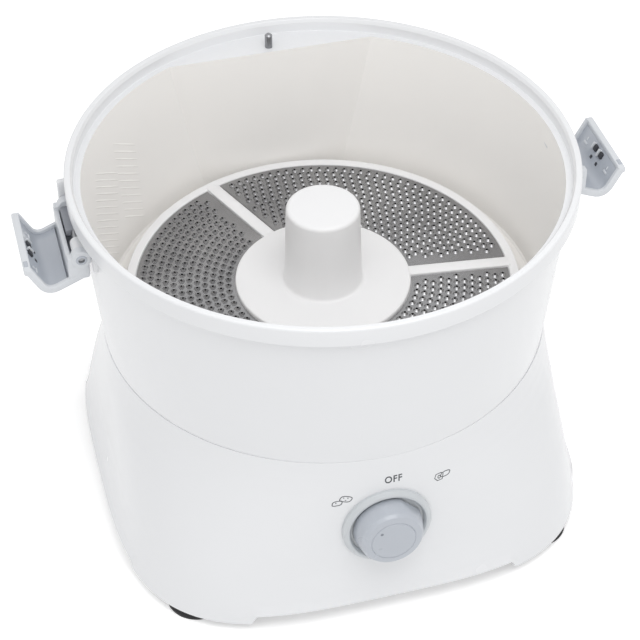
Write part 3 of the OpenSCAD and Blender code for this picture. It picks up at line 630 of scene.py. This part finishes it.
def makeKnob(k):
    front, under, face = k["front"], k["under"], k["faceRadius"]

    def corner(radius, name):
        out, down, soft = k[name]
        return radius + out, front - down, soft
    bm = lathe(rounded([
        (0, under), (k["radius"], under, k["footRound"]), k["grip"],
        corner(k["frontRadius"], "shoulder"), corner(k["frontRadius"], "edge"), corner(face, "lip"),
        corner(face, "groove"), corner(face, "rest"), (0, front)]), k["segments"])
    for side in (-1, 1):
        cut = bmesh.ops.bisect_plane(bm, geom=bm.verts[:] + bm.edges[:] + bm.faces[:], dist=cutGap,
                                     plane_co=(0, side * k["flat"], 0), plane_no=(0, side, 0),
                                     clear_outer=True)
        rim = [g for g in cut["geom_cut"] if isinstance(g, bmesh.types.BMEdge)]
        bmesh.ops.holes_fill(bm, edges=rim, sides=0)
    bmesh.ops.recalc_face_normals(bm, faces=bm.faces[:])
    turn = outOfFront @ turned(k["pointerAngle"], "Z")
    piece(placed(bm, turn), "knobBody", "knob", [silverGrey], ["knob"], sharp=28)
    # the pointer is a small pip near the edge of the face
    low, high = front - k["pipSunk"], front + k["pipProud"]
    pip = lathe(rounded([(0, low), (k["pipRadius"], low), (k["pipRadius"], high, k["pipRound"]),
                         (0, high)]), smallTurn // 2)
    spot = Matrix.Translation((face - k["pipIn"], 0, 0))
    piece(placed(pip, turn @ spot), "knobPointer", "knob", [pipGrey])


def makeSpindle(k):
    r, low, high = k["spindleRadius"], k["spindleFoot"], k["front"] - k["spindleShort"]
    footRound, topRound = k["spindleRounds"]
    bm = lathe(rounded([(0, low), (r, low, footRound), (r, high, topRound), (0, high)]), smallTurn)
    piece(placed(bm, outOfFront), "switchSpindle", "knob", [naturalAcetal],
          ["switch_spindle"])


makeBezel(knob)
makeKnob(knob)
makeSpindle(knob)
print("knob made")

# clip levers, for the right side and measured from the hinge: a trough with end walls, whose section
# in X and Z follows the path; shellSet and skinSet are how far its two bands stand in from the ribs'
# outside and ends, and their bevel; sideBlocks stand at both ends and crossBars run over the whole
# width, as X and Z of two corners, how far they stop short at low and high Y, and their bevel
clip = {"hingeX": 123.5, "hingeZ": 175, "width": 45,
        "path": [(-1.2, -8.9), (17.3, -16.9, 6.5), (25.1, -1.6)],
        "ribDepth": 3.7, "ribWidth": 2.2, "ribBevel": 0.45, "shell": 2.1, "shellSet": (0.15, 0.3, 0.2),
        "skin": 0.7, "skinSet": (0.25, 0.4, 0.1), "slotAt": 7.4, "slotLap": 1, "armIn": 17.8,
        "armOut": 0.1, "boss": 4.8, "pinHole": 1.56, "cap": 2.7, "capHalf": 0.4, "ringRound": 0.5,
        "sideBlocks": [((-3.6, -11.8), (6.6, -2.6), (0.15, 0.2), 1.4),
                       ((1.6, -4.8), (6.5, 1.6), (0.25, 0.3), 0.6)],
        "crossBars": [((4.4, -12.4), (6.7, -0.3), (0.4, 0.4), 0.5),
                      ((23.6, -4.2), (27.2, -0.8), (-0.1, -0.1), 0.9)],
        "lipStep": ((24.6, -19.5, -1.2), (26.6, -15.5, -0.5), 0.2)}
# hooks, dark blocks beside them that paint the shade of openings in the lip, and small ribs on the
# outer wall, drawn with X through the wall and Z up along it: where each kind starts across the width,
# its two corners and its bevel
wallBlocks = {"pale": [((-5.4, 1.2), (-2.0, 3.6, 1.0), (1.0, 4.8, 5.0), 0.3),
                       ((-14.6, 11.4), (-0.6, 0.0, -1.2), (1.0, 3.6, 0.0), 0.2),
                       ((-14.6, 11.4), (-0.6, 1.4, 0.9), (1.0, 2.2, 2.8), 0.2)],
              "dark": [((-5.4, 1.2), (-1.4, 0.4, 1.4), (1.0, 3.4, 4.6), 0.3),
                       ((-5.4, 1.2), (-0.5, 1.0, -3.4), (1.0, 2.9, -1.6), 0.2)]}


def clipBand(outer, inner, fromY, toY, bevelBy, fromX=None, toX=None):
    # a strip of the section between two distances from its middle line, over a stretch of the width
    path = [Vector(p) for p in rounded(clip["path"])]
    run = path[1] - path[0]
    start = path[0].x if fromX is None else fromX
    end = path[1].x if toX is None else toX
    line = [path[0] + run * (x - path[0].x) / run.x for x in (start, end)]
    if toX is None:
        line += path[2:]
    left, right = [], []
    for k, p in enumerate(line):
        along = (line[min(k + 1, len(line) - 1)] - line[max(k - 1, 0)]).normalized()
        away = Vector((along.y, -along.x))
        left.append(tuple(p + away * outer))
        right.append(tuple(p - away * inner))
    bm = prism(left + right[::-1], fromY, toY)
    bevelled(bm, [e for e in bm.edges if abs(e.verts[0].co.z - e.verts[1].co.z) < 0.01], bevelBy)
    # from X and Y to X and Z
    return placed(bm, Matrix(((1, 0, 0, 0), (0, 0, -1, 0), (0, 1, 0, 0), (0, 0, 0, 1))))


def hingeRing(outer, inner, fromY, toY):
    soft = clip["ringRound"]
    section = [(inner, fromY), (outer, fromY, soft), (outer, toY, soft), (inner, toY)]
    bm = lathe(rounded(section), smallTurn)
    return placed(bm, turned(-90, "X"))


def across(corners, low, high):
    # a block over a stretch of the width
    (lowX, lowZ), (highX, highZ), (lowTrim, highTrim), bevelBy = corners
    return between((lowX, low + lowTrim, lowZ), (highX, high - highTrim, highZ), bevelBy)


def clipParts(c):
    half, depth = c["width"] / 2, c["ribDepth"] / 2

    def trough(wall, setIn, fromX=None, toX=None):
        out, end, bevelBy = setIn
        return clipBand(depth - out, wall - depth, end - half, half - end, bevelBy, fromX, toX)
    # the trough is thin up to the slot
    grey = [trough(c["shell"], c["shellSet"], fromX=c["slotAt"]),
            trough(c["skin"], c["skinSet"], toX=c["slotAt"] + c["slotLap"])]
    pale = []
    for side in (-1, 1):
        low, high = sorted((side * (half - c["ribWidth"]), side * half))
        pale.append(clipBand(depth, depth, low, high, c["ribBevel"]))
        # the ends of these solids lie in planes of their own, a little apart
        low, high = sorted((side * c["armIn"], side * (half + c["armOut"])))
        pale.append(hingeRing(c["boss"], c["pinHole"], low, high))
        pale += [across(corners, low, high) for corners in c["sideBlocks"]]
        cap = hingeRing(c["cap"], c["pinHole"], -c["capHalf"], c["capHalf"])
        grey.append(placed(cap, Matrix.Translation((0, side * half, 0))))
    # the inner bar above the dark slot, and the thick outer lip with its small step
    pale += [across(corners, -half, half) for corners in c["crossBars"]]
    grey.append(between(*c["lipStep"]))
    low, high = Vector(c["path"][1][:2]), Vector(c["path"][2][:2])
    middle, lean = (low + high) / 2, math.atan2(high.x - low.x, high.y - low.y)
    onWall = Matrix.Translation((middle.x, 0, middle.y)) @ Matrix.Rotation(lean, 4, "Y")
    wall = {"pale": [], "dark": []}
    for tone, kinds in wallBlocks.items():
        for starts, (lowX, lowY, lowZ), (highX, highY, highZ), bevelBy in kinds:
            for y in starts:
                bit = between((lowX, y + lowY, lowZ), (highX, y + highY, highZ), bevelBy)
                wall[tone].append(placed(bit, onWall))
    return pale + wall["pale"], grey, wall["dark"]


def atHinge(side):
    # from the right hinge's own place to the right or, mirrored, the left of the bowl
    return Matrix.Diagonal((side, 1, 1, 1)) @ Matrix.Translation((clip["hingeX"], 0, clip["hingeZ"]))


def makeClip(c, side, body, node, name):
    pale, grey, dark = [placed(joined(parts), atHinge(side)) for parts in clipParts(c)]
    piece(pale, name + "Frame", body, [paleGrey], [node], sharp=30)
    piece(grey, name + "Trough", body, [silverGrey], sharp=30)
    # the dark blocks are painted shade for openings in the lip
    piece(dark, name + "OpeningShade", body, [shadeGrey], sharp=30)


makeClip(clip, 1, "clip_right", "clip_lever_right", "clipRight")
makeClip(clip, -1, "clip_left", "clip_lever_left", "clipLeft")

# the bowl's own hinge blocks, which hold the pins: a round knuckle in front on its root, a flat grey
# plate behind it on another, its grey a painted shade, a cheek that stands up at the far end and a
# gusset at the near one; the knuckle is (radius, bore, from Y, to Y), and each block is given by two
# corners and its bevel
bracket = {"knuckle": (3.4, 1.55, -17.4, -8.5),
           "blocks": [((-6.8, -17.4, -3.4), (-2.0, -8.5, 2.8), 0.6),
                      ((-6.8, -1.5, -4.4), (-2.2, 20.8, 3.4), 0.7),
                      ((-7.6, 22.9, -3.6), (3.2, 26.4, 12.4), 0.9),
                      ((-7.7, -26.5, -6.2), (-4.6, -22.9, 1.6), 0.9)],
           "shadePlate": ((-2.4, -1.1, -1.7), (3.8, 17.4, 1.7), 0.4)}


def makeBrackets(b):
    white, shadePlates = [], []
    for side in (-1, 1):
        bits = [hingeRing(*b["knuckle"])] + [between(*corners) for corners in b["blocks"]]
        white += [placed(bit, atHinge(side)) for bit in bits]
        shadePlates.append(placed(between(*b["shadePlate"]), atHinge(side)))
    piece(joined(white), "clipBrackets", "housing", [glossWhite])
    # the plates' mid grey is painted shade behind the knuckles
    piece(joined(shadePlates), "hingeShadePlates", "housing", [shadePlateGrey])


makeBrackets(bracket)
print("clips made")

# printed marks on the front: the word OFF and two plain symbols, each with its place in X and Z; a blob
# is (centre X and Y, half length, half height, turn, dent, corners)
marks = {"line": 0.42, "proud": 0.06, "sunk": 0.15, "wordPlace": (3.4, 84.8), "wordSize": 5.9,
         "wordNarrow": 0.8, "wordBold": 0.1, "wordSpace": 1.12, "dentTurn": 0.6,
         "potatoesPlace": (-22.0, 76.0), "potatoes": [(-2.4, -1.2, 3.0, 1.7, 0.25, 0.12, 40),
                                                      (1.9, 1.0, 3.4, 2.1, -0.1, 0.1, 40)],
         "eyes": [(0.8, 1.9), (2.9, 1.5), (1.7, 0.2), (-3.0, -0.9)],
         "eyeSize": 0.34, "eyeLine": 0.17, "eyeCorners": 10,
         "slicesPlace": (28.8, 78.0), "slices": [(1.7, 0.8, 2.9, 1.7, 0.2, 0.06, 40),
                                                 (-1.6, 0.1, 0.9, 1.1, 0, 0.05, 18)],
         "cutSlice": [(-4.2, -0.2), (-2.6, -2.2), (0.2, -1.9), (0.8, 1.6), (-0.6, 2.5), (-3.4, 2.2)]}


def wordOff(m):
    curve = bpy.data.curves.new("word", "FONT")
    curve.body = "OFF"
    curve.align_x, curve.align_y = "CENTER", "CENTER"
    curve.size = m["wordSize"]
    curve.offset = m["wordBold"]
    curve.space_character = m["wordSpace"]
    holder = addObject("word", curve)
    mesh = bpy.data.meshes.new_from_object(holder)
    bm = bmesh.new()
    bm.from_mesh(mesh)
    bmesh.ops.scale(bm, vec=(m["wordNarrow"], 1, 1), verts=bm.verts[:])
    bpy.data.objects.remove(holder)
    bpy.data.meshes.remove(mesh)
    return bm


def outlineRing(shape, line):
    # a closed line of even width inside a shape drawn anticlockwise
    bm = bmesh.new()
    pairs = []
    for i, (x, y) in enumerate(shape):
        run = Vector(shape[(i + 1) % len(shape)]) - Vector(shape[i - 1])
        inward = Vector((-run.y, run.x)).normalized() * line
        pairs.append((bm.verts.new((x, y, 0)), bm.verts.new((x + inward.x, y + inward.y, 0))))
    for i, (a, b) in enumerate(pairs):
        c, d = pairs[(i + 1) % len(pairs)]
        bm.faces.new((a, c, d, b))
    return bm


def blob(cx, cy, a, b, turn, dent, corners):
    # an oval with a slight waist
    out = []
    for i in range(corners):
        t = tau * i / corners
        r = 1 - dent * math.cos(2 * t + marks["dentTurn"]) ** 2
        x, y = a * r * math.cos(t), b * r * math.sin(t)
        out.append((cx + x * math.cos(turn) - y * math.sin(turn),
                    cy + x * math.sin(turn) + y * math.cos(turn)))
    return out


def symbolPotatoes(m):
    size, corners = m["eyeSize"], m["eyeCorners"]
    whole = [outlineRing(blob(*shape), m["line"]) for shape in m["potatoes"]]
    eyes = [outlineRing(blob(x, y, size, size, 0, 0, corners), m["eyeLine"]) for x, y in m["eyes"]]
    return joined(whole + eyes)


def symbolSlices(m):
    shapes = [m["cutSlice"]] + [blob(*shape) for shape in m["slices"]]
    return joined([outlineRing(shape, m["line"]) for shape in shapes])


def printOn(bm, place, name):
    # lays a flat mark on the front of the base, as thin ink
    cx, cz = place
    flat = bmesh.ops.extrude_face_region(bm, geom=bm.faces[:])
    raised = {g for g in flat["geom"] if isinstance(g, bmesh.types.BMVert)}
    for v in bm.verts:
        x, z = v.co.x + cx, v.co.y + cz
        hit = baseSurface.ray_cast(Vector((x, -200, z)) * mm, Vector((0, 1, 0)))[0]
        v.co = (x, hit.y / mm + (-marks["proud"] if v in raised else marks["sunk"]), z)
    bmesh.ops.recalc_face_normals(bm, faces=bm.faces[:])
    piece(bm, name, "housing", [printGrey], sharp=40)


baseSurface = BVHTree.FromObject(baseShell, bpy.context.evaluated_depsgraph_get())
printOn(wordOff(marks), marks["wordPlace"], "wordOff")
printOn(symbolPotatoes(marks), marks["potatoesPlace"], "symbolPotatoes")
printOn(symbolSlices(marks), marks["slicesPlace"], "symbolSlices")
print("marks made")

# finishes of the nodes that stay as they are
finishes = {"bottom_plate": satinWhite, "bottom_screws": turnedSteel, "foot_front_left": blackRubber,
            "foot_front_right": blackRubber, "foot_rear_left": blackRubber,
            "foot_rear_right": blackRubber, "foot_screws": turnedSteel, "drive_shaft": turnedSteel,
            "upper_bush": sinteredBronze, "lower_bush": sinteredBronze, "shaft_seal": blackRubber,
            "driven_gear": naturalAcetal, "motor_pinion": turnedSteel, "motor_shaft": turnedSteel,
            "motor": castZinc, "motor_plate": castZinc, "motor_plate_screws": turnedSteel,
            "rotary_switch": blackNylon, "clip_pin_left": turnedSteel, "clip_pin_right": turnedSteel,
            "interlock_pin": turnedSteel, "interlock_spring": turnedSteel,
            "interlock_switch": blackNylon, "circuit_board": boardGreen, "cord_inlet": blackNylon}
for node, finish in finishes.items():
    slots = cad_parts[node].material_slots
    for s in slots:
        s.material = finish
    if not slots:
        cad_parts[node].data.materials.append(finish)
print("finishes given")

# floor and light, in metres and watts
studio = {"floorSize": 6.0, "paper": "#ffffff", "paperRoughness": 0.9, "paperSheen": 0.1,
          "floorGlow": 0.3, "worldLevel": 0.76, "aim": (0, 0, 0.1),
          "keyPower": 1.3, "keySize": 0.8, "keyPlace": (-0.6, -0.5, 1.2),
          "topPower": 1.05, "topSize": 0.35, "topPlace": (0.03, -0.27, 0.62)}


def seenByEye(tree):
    # one where a ray comes from the camera, a reflection or a clear piece, and nothing otherwise
    path = addNode(tree, "ShaderNodeLightPath").outputs
    seen = path["Is Camera Ray"]
    for ray in ("Is Glossy Ray", "Is Transmission Ray"):
        either = addNode(tree, "ShaderNodeMath", {"operation": "MAXIMUM"}, {0: seen, 1: path[ray]})
        seen = either.outputs[0]
    return seen


def makeFloor(s):
    bm = bmesh.new()
    bmesh.ops.create_grid(bm, x_segments=1, y_segments=1, size=s["floorSize"] / 2)
    mesh = bpy.data.meshes.new("floor")
    bm.to_mesh(mesh)
    bm.free()
    floor = addObject("floor", mesh)
    mat, tree, bsdf = newMaterial("seamless white paper")
    bsdf.inputs["Base Color"].default_value = toLinear(s["paper"])
    bsdf.inputs["Roughness"].default_value = s["paperRoughness"]
    bsdf.inputs["Specular IOR Level"].default_value = s["paperSheen"]
    # the paper glows a little to the eye, so that it is white away from the shadow
    glow = addNode(tree, "ShaderNodeMath", {"operation": "MULTIPLY"},
                   {0: seenByEye(tree), 1: s["floorGlow"]})
    light = addNode(tree, "ShaderNodeEmission", inputs={
        "Color": toLinear(s["paper"]), "Strength": glow.outputs[0]})
    both = addNode(tree, "ShaderNodeAddShader", inputs={0: bsdf.outputs[0], 1: light.outputs[0]})
    tree.links.new(both.outputs[0], tree.nodes["Material Output"].inputs["Surface"])
    mesh.materials.append(mat)


def makeWorld(s):
    world = bpy.data.worlds.new("studio")
    bpy.context.scene.world = world
    world.use_nodes = True
    tree = world.node_tree
    back = tree.nodes["Background"]
    # white to the eye, and a little less to the object
    level = addNode(tree, "ShaderNodeMapRange", inputs={
        "Value": seenByEye(tree), "To Min": s["worldLevel"], "To Max": 1.0})
    back.inputs["Color"].default_value = toLinear(s["paper"])
    tree.links.new(level.outputs["Result"], back.inputs["Strength"])


def makeLamp(s, name):
    lamp = bpy.data.lights.new(name, "AREA")
    lamp.energy = s[name + "Power"]
    lamp.size = s[name + "Size"]
    holder = addObject(name, lamp)
    holder.visible_camera = False
    holder.location = s[name + "Place"]
    aim = Vector(s["aim"]) - Vector(s[name + "Place"])
    holder.rotation_euler = aim.to_track_quat("-Z", "Y").to_euler()


makeFloor(studio)
makeWorld(studio)
makeLamp(studio, "key")
makeLamp(studio, "top")
print("studio made")

bpy.context.view_layer.update()
